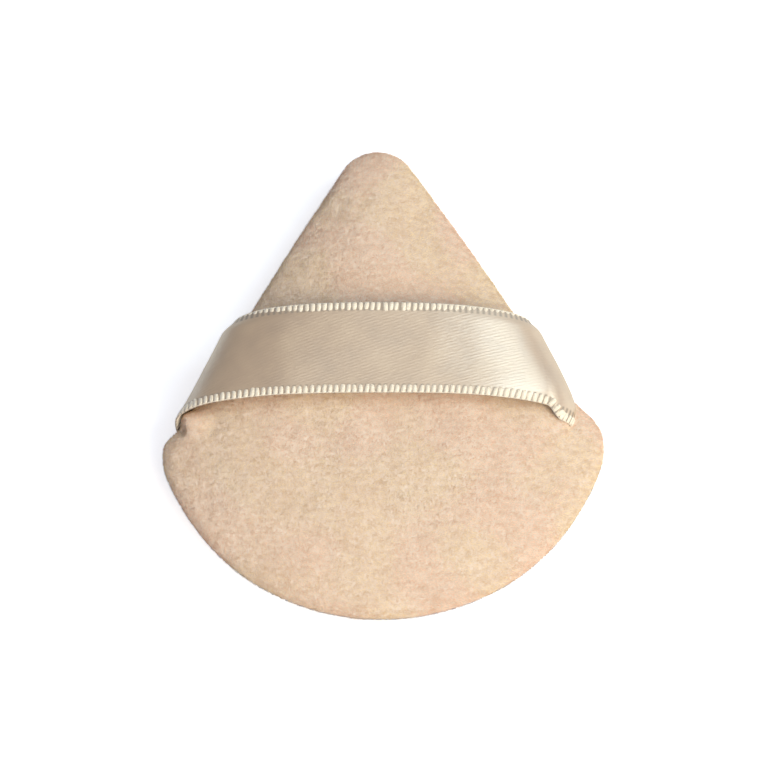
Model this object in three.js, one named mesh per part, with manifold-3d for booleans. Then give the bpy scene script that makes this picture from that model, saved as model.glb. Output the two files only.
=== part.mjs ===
// Powder puff: two velour panels sewn together round a sponge core, with a satin ribbon
// finger strap whose ends are caught in the side seams.
// Millimetres. X runs across the puff, Y from its round base to its tip, Z up from the
// face that it rests on. The origin is under the middle of the puff.
import * as THREE from 'three';
import Module from 'manifold-3d';

const wasm = await Module();
wasm.setup();

// Outline of the puff at its seam
const puffWidth = 75;
const puffLength = 82.6;
const tipRadius = 7.2;
const cornerRadius = 11;
const cornerLift = 17.6; // the corners' lowest points stand this far above the base's

// Thickness, measured from the seam to each crown
const frontCrown = 7.5;
const backCrown = 8;
const restDepth = 0.5; // how far the back is pressed flat where the puff lies on it
const crownFullness = 3.5; // exponent of the cushion's profile: 2 is an ellipse
const crownBackFromTip = 49.5; // the fullest point of the cushion

// Cover
const velourThickness = 1.5;
const allowanceWidth = 5.5; // seam allowance turned in behind the seam edge
const allowanceThickness = 0.9;
const clearance = 0.3; // between pieces that lie on each other

// Sewing thread
const threadDiameter = 0.35;
const stitchInset = 3.2; // the lockstitch line, in from the seam edge
const turningGap = 20; // length of seam left open to turn the cover, closed by hand
const turningGapFromRibbon = 1.5; // it starts this far tipwards of the ribbon's end
const ladderPitch = 4; // hand stitches that close it
const ladderInset = 1.1;
const ladderRise = 0.8;

// Ribbon strap
const ribbonWidth = 16;
const ribbonThickness = 0.35;
const selvedgeWidth = 1.4;
const selvedgeThickness = 0.6;
const ribbonFromTip = 41.8; // middle of the ribbon's sewn ends
const strapRise = 12.9; // crown of the strap above the seam
const strapLean = 2.4; // the crown lies this far towards the tip
const tipEdgeBulge = 2.5; // how far the shoulders swell out at the edge nearest the tip
const baseEdgeBulge = -0.5; // and at the edge nearest the base, where they are drawn in
const strapFullness = 2.6;
const seamPull = 1.6; // the sewn ribbon draws the seam in by this much
const pullFade = 4; // the seam runs back to its own line over this length

// Fineness of the meshes
const tipSteps = 6;
const sideSteps = 14;
const cornerSteps = 3;
const baseSteps = 16;
const crownRings = 7;
const strapSteps = 44;
const threadSides = 4;

// Places worked out from the sizes
const seamHeight = backCrown - restDepth;
const tipCentre = new THREE.Vector2(0, puffLength / 2 - tipRadius);
const cornerX = puffWidth / 2 - cornerRadius;
const cornerCentre = new THREE.Vector2(cornerX, cornerRadius + cornerLift - puffLength / 2);
// The base is one arc that meets both corner arcs smoothly.
const baseRadius = cornerRadius + (cornerX ** 2 / cornerLift + cornerLift) / 2;
const baseCentre = new THREE.Vector2(0, baseRadius - puffLength / 2);
const tipToCorner = new THREE.Vector2().subVectors(cornerCentre, tipCentre);
// The side's normal lies this far above the X axis, which is also half the angle at the tip.
const sideAngle =
  Math.atan2(tipToCorner.x, -tipToCorner.y) +
  Math.asin((cornerRadius - tipRadius) / tipToCorner.length());
const cornerEndAngle = Math.atan2(cornerCentre.y - baseCentre.y, cornerX);
const crownY = puffLength / 2 - crownBackFromTip;
const ribbonY = puffLength / 2 - ribbonFromTip;
const leastTipShare = 0.08; // a deep inset keeps this share of the tip's radius
const strapStandOff = clearance + selvedgeThickness / 2; // of its middle, from the seam edge
const seamHalfGap = clearance / 2;
const allowanceTop = seamHalfGap + allowanceThickness;

const velourColour = 0xe4c8ad;
const spongeColour = 0xf4efe2;
const satinColour = 0xd9c6a5;
const threadColour = 0xe9dcc4;

const velour = new THREE.MeshStandardMaterial({ color: velourColour, roughness: 0.95, metalness: 0 });
const sponge = new THREE.MeshStandardMaterial({ color: spongeColour, roughness: 1, metalness: 0 });
const satin = new THREE.MeshStandardMaterial({ color: satinColour, roughness: 0.35, metalness: 0 });
const thread = new THREE.MeshStandardMaterial({ color: threadColour, roughness: 0.7, metalness: 0 });

const group = new THREE.Group();

function addPart(name, geometry, material) {
  const mesh = new THREE.Mesh(geometry, material);
  mesh.name = name;
  group.add(mesh);
}

// How far the seam is drawn in at a height y, greatest beside the ribbon's sewn ends.
function drawnIn(y) {
  const away = Math.abs(y - ribbonY);
  return seamPull * (1 - THREE.MathUtils.smoothstep(away, ribbonWidth / 2, ribbonWidth / 2 + pullFade));
}

// Half the puff's width at a height y along its straight sides, at the seam edge.
function sideX(y) {
  const straight = tipRadius - (y - tipCentre.y) * Math.sin(sideAngle);
  return (straight - drawnIn(y)) / Math.cos(sideAngle);
}

function arcPoints(centre, radius, from, to, steps) {
  const points = [];
  for (let i = 0; i < steps; i++) {
    const angle = from + ((to - from) * i) / steps;
    const spoke = new THREE.Vector2(Math.cos(angle), Math.sin(angle));
    points.push(spoke.multiplyScalar(radius).add(centre));
  }
  return points;
}

function linePoints(from, to, steps) {
  const points = [];
  for (let i = 0; i < steps; i++) {
    points.push(new THREE.Vector2().lerpVectors(from, to, i / steps));
  }
  return points;
}

// The seam outline, or a line a given inset inside it, anticlockwise from the right corner.
function outline(inset) {
  const tip = Math.max(tipRadius - inset, tipRadius * leastTipShare);
  const tipMiddle = tipCentre.clone();
  tipMiddle.y -= (inset + tip - tipRadius) / Math.sin(sideAngle);
  const corner = cornerRadius - inset;
  const normal = new THREE.Vector2(Math.cos(sideAngle), Math.sin(sideAngle));
  const rightFoot = cornerCentre.clone().addScaledVector(normal, corner);
  const rightHead = tipMiddle.clone().addScaledVector(normal, tip);
  const leftHead = new THREE.Vector2(-rightHead.x, rightHead.y);
  const leftFoot = new THREE.Vector2(-rightFoot.x, rightFoot.y);
  const leftCorner = new THREE.Vector2(-cornerCentre.x, cornerCentre.y);
  const leftEndAngle = Math.PI - cornerEndAngle;
  const rightEndAngle = 2 * Math.PI + cornerEndAngle;
  const points = [
    ...arcPoints(cornerCentre, corner, cornerEndAngle, 0, cornerSteps),
    ...arcPoints(cornerCentre, corner, 0, sideAngle, cornerSteps),
    ...linePoints(rightFoot, rightHead, sideSteps),
    ...arcPoints(tipMiddle, tip, sideAngle, Math.PI - sideAngle, tipSteps),
    ...linePoints(leftHead, leftFoot, sideSteps),
    ...arcPoints(leftCorner, corner, Math.PI - sideAngle, Math.PI, cornerSteps),
    ...arcPoints(leftCorner, corner, Math.PI, leftEndAngle, cornerSteps),
    ...arcPoints(baseCentre, baseRadius - inset, leftEndAngle, rightEndAngle, baseSteps),
  ];
  return points.map((p) => {
    const pull = drawnIn(p.y) * Math.sign(p.x) * (Math.abs(p.x) > tipRadius ? 1 : 0);
    return new THREE.Vector2(p.x - pull / Math.cos(sideAngle), p.y);
  });
}

function flatRing(points, z) {
  return points.map((p) => new THREE.Vector3(p.x, p.y, z));
}

// Rings over a cushion's dome, from the rise nearest the seam to the rise nearest the crown.
// side is 1 for the front and -1 for the back.
function domeRings(points, crown, fromRise, toRise, side) {
  const from = Math.asin(fromRise / crown);
  const to = Math.asin(toRise / crown);
  const rings = [];
  for (let i = 0; i < crownRings; i++) {
    const angle = from + ((to - from) * i) / crownRings;
    rings.push(domeRing(points, crown, angle, side));
  }
  if (toRise < crown) rings.push(domeRing(points, crown, to, side));
  return rings;
}

function domeRing(points, crown, angle, side) {
  const share = Math.cos(angle) ** (2 / crownFullness);
  const z = seamHeight + side * crown * Math.sin(angle);
  return points.map((p) => new THREE.Vector3(p.x * share, crownY + (p.y - crownY) * share, z));
}

function crownPole(rise, side) {
  return new THREE.Vector3(0, crownY, seamHeight + side * rise);
}

// A closed solid through rings of equally many points, with a pole at each end.
function solidFromRings(firstPole, rings, lastPole) {
  const count = rings[0].length;
  const vertices = [firstPole, ...rings.flat(), lastPole].flatMap((p) => [p.x, p.y, p.z]);
  const last = rings.length * count + 1;
  const faces = [];
  for (let i = 0; i < count; i++) {
    const next = (i + 1) % count;
    faces.push(0, 1 + i, 1 + next);
    for (let r = 0; r + 1 < rings.length; r++) {
      const here = 1 + r * count;
      const below = here + count;
      faces.push(here + i, below + i, below + next, here + i, below + next, here + next);
    }
    faces.push(last - count + i, last, last - count + next);
  }
  return closedGeometry(vertices, faces);
}

// A closed bar through sections of equally many points, or a ring of them that meets itself.
function solidFromSections(sections, closed) {
  const count = sections[0].length;
  const vertices = sections.flat().flatMap((p) => [p.x, p.y, p.z]);
  const faces = [];
  const spans = closed ? sections.length : sections.length - 1;
  for (let s = 0; s < spans; s++) {
    const here = s * count;
    const there = ((s + 1) % sections.length) * count;
    for (let i = 0; i < count; i++) {
      const next = (i + 1) % count;
      faces.push(here + i, there + next, there + i, here + i, here + next, there + next);
    }
  }
  // Each end is closed from one face of the section straight across to the other.
  const last = (sections.length - 1) * count;
  for (let a = 0; !closed && a + 1 < count / 2; a++) {
    const b = a + 1;
    const c = count - 1 - b;
    const d = count - 1 - a;
    faces.push(a, c, b, a, d, c);
    faces.push(last + a, last + b, last + c, last + a, last + c, last + d);
  }
  return closedGeometry(vertices, faces);
}

function closedGeometry(vertices, faces) {
  const geometry = new THREE.BufferGeometry();
  geometry.setAttribute('position', new THREE.Float32BufferAttribute(vertices, 3));
  geometry.setIndex(faces);
  if (signedVolume(geometry) < 0) geometry.setIndex(faces.slice().reverse());
  return geometry;
}

function signedVolume(geometry) {
  const position = geometry.getAttribute('position');
  const index = geometry.getIndex().array;
  const corner = (i) => new THREE.Vector3().fromBufferAttribute(position, index[i]);
  let volume = 0;
  for (let i = 0; i < index.length; i += 3) {
    volume += corner(i).dot(corner(i + 1).cross(corner(i + 2))) / 6;
  }
  return volume;
}

function manifoldOf(geometry) {
  const vertProperties = geometry.getAttribute('position').array;
  const triVerts = new Uint32Array(geometry.getIndex().array);
  return new wasm.Manifold(new wasm.Mesh({ numProp: 3, vertProperties, triVerts }));
}

function geometryOf(solid) {
  const mesh = solid.getMesh();
  const geometry = new THREE.BufferGeometry();
  geometry.setAttribute('position', new THREE.BufferAttribute(mesh.vertProperties, 3));
  geometry.setIndex(new THREE.BufferAttribute(mesh.triVerts, 1));
  return geometry;
}

function cutFrom(geometry, cutters) {
  const tools = cutters.map(manifoldOf);
  return geometryOf(tools.reduce((left, tool) => left.subtract(tool), manifoldOf(geometry)));
}

// A velour panel: dome, fold at the seam, and the allowance turned in along the seam plane.
function panelGeometry(crown, outerReach, side) {
  const edge = outline(0);
  const lining = outline(velourThickness);
  const raw = outline(allowanceWidth);
  const innerCrown = crown - velourThickness;
  const innerReach = outerReach - velourThickness;
  const outer = domeRings(edge, crown, seamHalfGap, outerReach, side).reverse();
  const inner = domeRings(lining, innerCrown, allowanceTop, innerReach, side);
  const allowance = [
    flatRing(raw, seamHeight + side * seamHalfGap),
    flatRing(raw, seamHeight + side * allowanceTop),
  ];
  const rings = [...outer, ...allowance, ...inner];
  return solidFromRings(crownPole(outerReach, side), rings, crownPole(innerReach, side));
}

// The sponge fills the cover and is grooved all round where the seam allowances press into it.
function coreGeometry() {
  const inset = velourThickness + clearance;
  const skin = outline(inset);
  const groove = outline(allowanceWidth + clearance);
  const shoulder = allowanceTop + threadDiameter + 2 * clearance;
  const frontReach = frontCrown - inset;
  const backReach = seamHeight - inset;
  const front = domeRings(skin, frontCrown - inset, shoulder, frontReach, 1).reverse();
  const back = domeRings(skin, backCrown - inset, shoulder, backReach, -1);
  const waist = [flatRing(groove, seamHeight + shoulder), flatRing(groove, seamHeight - shoulder)];
  return solidFromRings(crownPole(frontReach, 1), [...front, ...waist, ...back], crownPole(backReach, -1));
}

// A strip in the seam plane that follows the slanting side seam, side 1 right and -1 left.
function seamStrip(side, innerInset, outerReach, halfWidth, thickness) {
  const rows = [];
  for (let i = 0; i <= sideSteps; i++) {
    const y = ribbonY - halfWidth + (2 * halfWidth * i) / sideSteps;
    const inner = side * (sideX(y) - innerInset / Math.cos(sideAngle));
    const outer = side * (sideX(y) + outerReach);
    rows.push([
      new THREE.Vector3(inner, y, seamHeight - thickness / 2),
      new THREE.Vector3(outer, y, seamHeight - thickness / 2),
      new THREE.Vector3(outer, y, seamHeight + thickness / 2),
      new THREE.Vector3(inner, y, seamHeight + thickness / 2),
    ]);
  }
  return solidFromSections(rows, false);
}

function tailGeometry(side) {
  return seamStrip(side, allowanceWidth, 0, ribbonWidth / 2, ribbonThickness);
}

// The mouth that the ribbon's tail leaves open between the two panels.
function tailMouth(side) {
  const depth = allowanceWidth + clearance;
  const halfWidth = ribbonWidth / 2 + clearance;
  const overrun = cornerRadius; // carries the cut well out past the fold
  return seamStrip(side, depth, overrun, halfWidth, ribbonThickness + 2 * clearance);
}

// A point on the strap's middle surface. along is -1 at the left seam, 0 at the crown and 1 at
// the right seam; across is -1 at the edge nearest the base and 1 at the edge nearest the tip.
function strapPoint(along, across) {
  const side = along < 0 ? -1 : 1;
  const angle = ((1 - Math.abs(along)) * Math.PI) / 2;
  const sewnY = ribbonY + (across * ribbonWidth) / 2;
  const halfSpan = sideX(sewnY) + strapStandOff;
  const lift = Math.sin(angle) ** (2 / strapFullness);
  const bulge = THREE.MathUtils.lerp(baseEdgeBulge, tipEdgeBulge, (across + 1) / 2);
  const x = halfSpan * Math.cos(angle) ** (2 / strapFullness) + bulge * Math.sin(2 * angle);
  return new THREE.Vector3(side * x, sewnY + strapLean * lift, seamHeight + strapRise * lift);
}

// The strap's section: a thin web with a thicker woven selvedge along each edge.
function strapSection(along) {
  const inner = 1 - (2 * selvedgeWidth) / ribbonWidth;
  const shoulder = 1 - (3 * selvedgeWidth) / ribbonWidth;
  const profile = [
    [-1, selvedgeThickness],
    [-inner, selvedgeThickness],
    [-shoulder, ribbonThickness],
    [0, ribbonThickness],
    [shoulder, ribbonThickness],
    [inner, selvedgeThickness],
    [1, selvedgeThickness],
  ];
  const place = ([across, thickness], face) => {
    const point = strapPoint(along, across);
    return point.addScaledVector(strapNormal(along, across), (face * thickness) / 2);
  };
  const top = profile.map((p) => place(p, 1));
  const under = profile.map((p) => place(p, -1)).reverse();
  return [...top, ...under];
}

function strapNormal(along, across) {
  const step = 1 / (strapSteps * strapSteps);
  const before = strapPoint(Math.max(along - step, -1), across);
  const after = strapPoint(Math.min(along + step, 1), across);
  const lengthways = new THREE.Vector3().subVectors(after, before);
  const widthways = new THREE.Vector3().subVectors(strapPoint(along, 1), strapPoint(along, -1));
  return new THREE.Vector3().crossVectors(lengthways, widthways).normalize();
}

function strapGeometry() {
  const sections = [];
  for (let i = 0; i <= strapSteps; i++) {
    sections.push(strapSection(-1 + (2 * i) / strapSteps));
  }
  return solidFromSections(sections, false);
}

// A thread along points, with a section of the given diameter at each, square to the run.
function threadGeometry(points, diameter, closed) {
  const count = points.length;
  const sections = points.map((point, i) => {
    const before = closed ? points[(i + count - 1) % count] : points[Math.max(i - 1, 0)];
    const after = closed ? points[(i + 1) % count] : points[Math.min(i + 1, count - 1)];
    const back = new THREE.Vector3().subVectors(point, before).normalize();
    const forward = new THREE.Vector3().subVectors(after, point).normalize();
    const run = new THREE.Vector3().addVectors(back, forward).normalize();
    const out = new THREE.Vector3(Math.cos(sideAngle), Math.sin(sideAngle), 0);
    const level = closed ? new THREE.Vector3(run.y, -run.x, 0).normalize() : out;
    const up = new THREE.Vector3().crossVectors(level, run).normalize();
    const turns = forward.lengthSq() > 0 && back.lengthSq() > 0;
    const mitre = turns ? 1 / Math.max(run.dot(forward), Math.SQRT1_2) : 1;
    return sectionRound(point, level, up, diameter / 2, mitre);
  });
  return solidFromSections(sections, closed);
}

// The corners of a thread's section; at a sharp turn the mitre keeps the thread's thickness.
function sectionRound(point, level, up, radius, mitre) {
  const corners = [];
  for (let i = 0; i < threadSides; i++) {
    const angle = ((i + 1 / 2) * 2 * Math.PI) / threadSides;
    const corner = point.clone().addScaledVector(level, radius * Math.cos(angle));
    corners.push(corner.addScaledVector(up, radius * mitre * Math.sin(angle)));
  }
  return corners;
}

// One thread of the lockstitch, lying on its panel's allowance all round. side as for a dome.
function lockstitchGeometry(side) {
  const rise = allowanceTop + clearance + threadDiameter / 2;
  return threadGeometry(flatRing(outline(stitchInset), seamHeight + side * rise), threadDiameter, true);
}

// The hand stitches that close the turning gap: rungs across the seam, runs inside each fold.
function ladderPoints() {
  const rungs = Math.round(turningGap / ladderPitch);
  const startY = ribbonY + ribbonWidth / 2 + turningGapFromRibbon;
  const points = [];
  for (let i = 0; i <= rungs; i++) {
    const y = startY + i * ladderPitch * Math.cos(sideAngle);
    const x = sideX(y) - ladderInset / Math.cos(sideAngle);
    const side = i % 2 ? 1 : -1;
    points.push(new THREE.Vector3(x, y, seamHeight + side * ladderRise));
    points.push(new THREE.Vector3(x, y, seamHeight - side * ladderRise));
  }
  return points;
}

const closing = ladderPoints();
const closingTunnel = threadGeometry(closing, threadDiameter + 2 * clearance, false);
const cuts = [tailMouth(-1), tailMouth(1), closingTunnel];

addPart('front_velour_panel', cutFrom(panelGeometry(frontCrown, frontCrown, 1), cuts), velour);
addPart('back_velour_panel', cutFrom(panelGeometry(backCrown, seamHeight, -1), cuts), velour);
addPart('sponge_core', coreGeometry(), sponge);
addPart('ribbon_strap', strapGeometry(), satin);
addPart('ribbon_tail_left', tailGeometry(-1), satin);
addPart('ribbon_tail_right', tailGeometry(1), satin);
addPart('seam_needle_thread', lockstitchGeometry(1), thread);
addPart('seam_bobbin_thread', lockstitchGeometry(-1), thread);
addPart('closing_thread', threadGeometry(closing, threadDiameter, false), thread);

export default group;
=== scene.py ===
# A velour powder puff with a satin finger strap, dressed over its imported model.
import math

import bpy
import numpy as np
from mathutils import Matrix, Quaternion, Vector, noise
from mathutils.bvhtree import BVHTree


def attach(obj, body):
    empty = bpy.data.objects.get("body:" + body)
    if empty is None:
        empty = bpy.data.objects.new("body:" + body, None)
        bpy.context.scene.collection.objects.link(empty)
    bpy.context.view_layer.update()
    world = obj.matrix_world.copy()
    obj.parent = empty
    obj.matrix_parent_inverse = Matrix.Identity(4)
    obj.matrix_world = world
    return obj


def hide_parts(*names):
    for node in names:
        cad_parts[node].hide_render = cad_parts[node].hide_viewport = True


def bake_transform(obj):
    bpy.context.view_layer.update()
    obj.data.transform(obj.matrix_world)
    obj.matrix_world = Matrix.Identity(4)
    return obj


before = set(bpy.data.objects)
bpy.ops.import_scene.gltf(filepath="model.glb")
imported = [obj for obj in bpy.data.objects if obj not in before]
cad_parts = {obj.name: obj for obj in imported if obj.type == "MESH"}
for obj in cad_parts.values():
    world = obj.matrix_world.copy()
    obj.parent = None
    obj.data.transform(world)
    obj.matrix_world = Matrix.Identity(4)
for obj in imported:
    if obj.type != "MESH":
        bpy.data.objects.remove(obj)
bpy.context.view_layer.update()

draw = np.random.default_rng(11)  # seeded, so every run gives the same pile
mm = 0.001
print("frame loaded")


def linearColour(hexText):
    channels = [int(hexText[i:i + 2], 16) / 255 for i in (1, 3, 5)]
    return [c / 12.92 if c <= 0.04045 else ((c + 0.055) / 1.055) ** 2.4 for c in channels] + [1]


def addNode(tree, kind, settings=None, links=None):
    # settings: node property or socket to value; links: socket to (node, output)
    node = tree.nodes.new("ShaderNode" + kind)
    for key, value in (settings or {}).items():
        if isinstance(key, str) and hasattr(node, key):
            setattr(node, key, value)
        else:
            node.inputs[key].default_value = value
    feed(node, links or {})
    return node


def feed(node, links):
    for key, (source, output) in links.items():
        node.id_data.links.new(source.outputs[output], node.inputs[key])


def setSockets(node, values):
    for key, value in values.items():
        node.inputs[key].default_value = value


def newMaterial(name):
    material = bpy.data.materials.new(name)
    material.use_nodes = True
    tree = material.node_tree
    return material, tree, tree.nodes["Principled BSDF"]


def oneTextureLook(name, kind, settings, output, steps, relief, turn=None):
    # one texture gives the tint and the relief, which is its strength and its depth in metres
    material, tree, shader = newMaterial(name)
    place = addNode(tree, "TexCoord"), "Object"
    if turn:
        place = addNode(tree, "Mapping", {"Rotation": turn}, {"Vector": place}), "Vector"
    texture = addNode(tree, kind, settings, {"Vector": place})
    tint = addNode(tree, "ValToRGB", {}, {"Fac": (texture, output)})
    colourSteps(tint, steps)
    strength, depth = relief
    bump = addNode(tree, "Bump", {"Strength": strength, "Distance": depth}, {"Height": (texture, output)})
    feed(shader, {"Base Color": (tint, "Color"), "Normal": (bump, "Normal")})
    return material, shader


def colourSteps(ramp, steps):
    # steps: (position, hex) pairs
    elements = ramp.color_ramp.elements
    while len(elements) < len(steps):
        elements.new(0.5)
    for element, (position, hexText) in zip(elements, steps):
        element.position = position
        element.color = linearColour(hexText)


def newPiece(name, points, faces, material, smooth=True):
    # points in millimetres
    mesh = bpy.data.meshes.new(name)
    mesh.from_pydata((np.asarray(points, float) * mm).tolist(), [], [list(map(int, f)) for f in faces])
    mesh.validate()
    mesh.polygons.foreach_set("use_smooth", [smooth] * len(mesh.polygons))
    mesh.materials.append(material)
    piece = bpy.data.objects.new(name, mesh)
    bpy.context.scene.collection.objects.link(piece)
    return piece


def meshVectors(mesh, kind):
    flat = np.empty(len(mesh.vertices) * 3)
    mesh.vertices.foreach_get(kind, flat)
    return flat.reshape(-1, 3)


def meshPoints(mesh):
    return meshVectors(mesh, "co") / mm


def meshNormals(mesh):
    return meshVectors(mesh, "normal")


def takeMesh(shape):
    # the points and faces of a shape modelled to be repeated, which is then removed
    points = np.array([v.co[:] for v in shape.data.vertices])
    faces = [tuple(f.vertices) for f in shape.data.polygons]
    bpy.data.objects.remove(shape)
    return points, faces


def mergeDoubles(piece, threshold):
    bpy.ops.object.select_all(action="DESELECT")
    bpy.context.view_layer.objects.active = piece
    piece.select_set(True)
    bpy.ops.object.mode_set(mode="EDIT")
    bpy.ops.mesh.select_all(action="SELECT")
    bpy.ops.mesh.remove_doubles(threshold=threshold)
    bpy.ops.object.mode_set(mode="OBJECT")


def smoothStep(value, start, end):
    t = np.clip((np.asarray(value, float) - start) / (end - start), 0, 1)
    return t * t * (3 - 2 * t)


def unit(vectors):
    return vectors / np.linalg.norm(vectors, axis=-1, keepdims=True)


def noiseAt(points, wavelength, seed):
    offset = Vector((seed * 17.3, seed * 5.1, seed * 9.7))
    return np.array([noise.noise(Vector(p) / wavelength + offset) for p in points])


def uneven(points, form, seed):
    # form: its height and its width
    high, wide = form
    return high * noiseAt(points, wide, seed)


def gridFaces(rows, columns):
    # the quads of a grid of points, and the points round its rim
    index = np.arange(rows * columns).reshape(rows, columns)
    quads = np.stack([index[:-1, :-1], index[:-1, 1:], index[1:, 1:], index[1:, :-1]], -1).reshape(-1, 4)
    rim = np.concatenate([index[0, :-1], index[:-1, -1], index[-1, :0:-1], index[:0:-1, 0]])
    return quads, rim


# The camera looks from 15 degrees short of straight above, turned a little, as the photograph does.
camera = {"elevation": 75, "roll": -1.28, "distance": 400, "lens": 110.6, "aim": (0.38, -1.09, 8.6)}


def addCamera():
    rise = math.radians(camera["elevation"])
    back = Vector((0, -math.cos(rise), math.sin(rise)))
    data = bpy.data.cameras.new("photoCamera")
    data.sensor_width = 36
    data.lens = camera["lens"]
    data.clip_start = 0.01
    lookout = bpy.data.objects.new("photoCamera", data)
    bpy.context.scene.collection.objects.link(lookout)
    lookout.rotation_mode = "QUATERNION"
    lookout.location = (Vector(camera["aim"]) + back * camera["distance"]) * mm
    turn = Quaternion((0, 0, 1), math.radians(camera["roll"]))
    lookout.rotation_quaternion = (-back).to_track_quat("-Z", "Y") @ turn
    bpy.context.scene.camera = lookout


addCamera()


# The velour cushion, in millimetres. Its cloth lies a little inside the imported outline, because the
# pile stands out of it. A fade is how far within and beyond the ribbon's edge the velour is drawn in,
# and an unevenness, such as the roll or the grain, is its height and width.
puff = {
    "width": 75, "length": 82.6, "tipRadius": 7.2, "cornerRadius": 11, "cornerLift": 17.6,
    "fabricInset": 0.45, "seamHeight": 7.5, "frontCrown": 7.15, "backCrown": 7.6,
    "fullness": 3.4, "tipFullness": 2.6, "tipShare": 0.2, "crownFromTip": 49.5, "profileReach": 35,
    "restPad": 0.3, "restRound": 0.6, "seamGap": 0.08, "mouthGap": 0.26, "mouthFade": 1.2,
    "leftPull": 1.9, "rightPull": 1.5, "pullSteepness": 7, "pullFromTip": 4,
    "tipFade": (0.5, 4), "leftFade": (1.2, 3), "rightFade": (4.5, 2.2),
    "eased": ((-34, 9, 0.35), (13, 8, -0.5)),
    "wallThickness": 1.3, "allowance": 5.5, "allowanceThickness": 0.9, "allowanceGap": 0.15,
    "roll": (0.22, 6), "smallRoll": (0.1, 2.2), "rollFade": 0.03,
    "grain": (0.06, 0.9), "smallGrain": (0.03, 0.5), "grainDrawnOut": (0.5, 1.3, 1),
    "napLight": 1.7, "napSteepness": 4, "fineCount": 240, "coarseCount": 60,
}
# The ribbon, which is sewn in at both sides and draws the velour in there.
ribbon = {
    "width": 16, "thickness": 0.32, "edgeThickness": 0.12, "fromTip": 41.8, "rise": 12.7,
    "lean": 2.4, "skew": -0.02, "bow": 0.45, "bowSteepness": 6, "shoulder": 1.5, "shoulderFrom": 0.84,
    "tab": 1.8, "tabFrom": 27.3, "tabTo": 29.6, "tabSteepness": 3, "tuckSteepness": 8,
    "foldRadius": 0.5, "foldSteps": 12, "tailLength": 4.6, "tailSteps": 10,
    "swell": (0.13, 7), "swellFrom": 1.5, "swellTo": 5,
    "lengthSteps": 420, "widthSteps": 40, "edgeSteps": (0.955, 0.985),
    "left": {
        "standOff": 0.2, "tuck": 0, "tipBulge": 3.9, "baseBulge": 0.4,
        "tipFullness": 2.6, "baseFullness": 3,
    },
    "right": {
        "standOff": 0, "tuck": 3.1, "tipBulge": 4.7, "baseBulge": -1.1,
        "tipFullness": 2.1, "baseFullness": 2.9,
    },
}
ribbonY = puff["length"] / 2 - ribbon["fromTip"]
crownY = puff["length"] / 2 - puff["crownFromTip"]
cornerX = puff["width"] / 2 - puff["cornerRadius"]
cornerCentre = np.array([cornerX, puff["cornerRadius"] + puff["cornerLift"] - puff["length"] / 2])
baseRadius = puff["cornerRadius"] + (cornerX ** 2 / puff["cornerLift"] + puff["cornerLift"]) / 2
baseCentre = np.array([0, baseRadius - puff["length"] / 2])
tipCentre = np.array([0, puff["length"] / 2 - puff["tipRadius"]])
tipToCorner = cornerCentre - tipCentre
sideAngle = math.atan2(tipToCorner[0], -tipToCorner[1]) + math.asin(
    (puff["cornerRadius"] - puff["tipRadius"]) / np.linalg.norm(tipToCorner)
)


def drawnIn(y, side):
    # how far the sewn ribbon draws the velour in, on the left (side below 0) and on the right; it
    # starts to swell out again under the ribbon's edges, and most of all at the right, towards the base
    onLeft = np.asarray(side) < 0
    away = np.asarray(y) - ribbonY
    within, beyond = (
        np.where(away > 0, puff["tipFade"][k], np.where(onLeft, puff["leftFade"][k], puff["rightFade"][k]))
        for k in (0, 1)
    )
    half = ribbon["width"] / 2
    pull = np.where(onLeft, puff["leftPull"], puff["rightPull"])
    return pull * (1 - smoothStep(np.abs(away), half - within, half + beyond))


def ribbonX(y, side):
    # where the ribbon leaves the seam; its corner nearest the base may be tucked further in
    form, pull = (ribbon["left"], puff["leftPull"]) if side < 0 else (ribbon["right"], puff["rightPull"])
    straight = puff["tipRadius"] - (y - tipCentre[1]) * math.sin(sideAngle)
    toBase = (ribbonY + ribbon["width"] / 2 - y) / ribbon["width"]
    tuck = form["tuck"] * toBase ** ribbon["tuckSteepness"]
    return (straight - pull) / math.cos(sideAngle) + form["standOff"] - tuck


def arcPoints(centre, radius, start, end, steps=240):
    angle = np.linspace(start, end, steps, endpoint=False)
    return centre + radius * np.column_stack([np.cos(angle), np.sin(angle)])


def seamOutline(inset):
    # anticlockwise from the middle of the base, closed, with its length as a share from 0 to 1
    endAngle = math.atan2(cornerCentre[1] - baseCentre[1], cornerX)
    normal = np.array([math.cos(sideAngle), math.sin(sideAngle)])
    base = arcPoints(baseCentre, baseRadius - inset, -math.pi / 2, endAngle)
    corner = arcPoints(cornerCentre, puff["cornerRadius"] - inset, endAngle, sideAngle)
    foot = cornerCentre + normal * (puff["cornerRadius"] - inset)
    head = tipCentre + normal * (puff["tipRadius"] - inset)
    side = foot + (head - foot) * np.linspace(0, 1, 300, endpoint=False)[:, None]
    tip = arcPoints(tipCentre, puff["tipRadius"] - inset, sideAngle, math.pi / 2)
    right = np.vstack([base, corner, side, tip, [[0, tipCentre[1] + puff["tipRadius"] - inset]]])
    left = right[::-1] * [-1, 1]
    points = np.vstack([right, left[1:]])
    # the filled cover eases the drawn outline: fuller at the base, slimmer beside the tip
    outward = unit(points - [0, crownY])
    for y, reach, move in puff["eased"]:
        points = points + outward * (move * np.exp(-((points[:, 1:] - y) / reach) ** 2))
    share = np.concatenate([[0], np.cumsum(np.linalg.norm(np.diff(points, axis=0), axis=1))])
    return points, share / share[-1]


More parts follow.
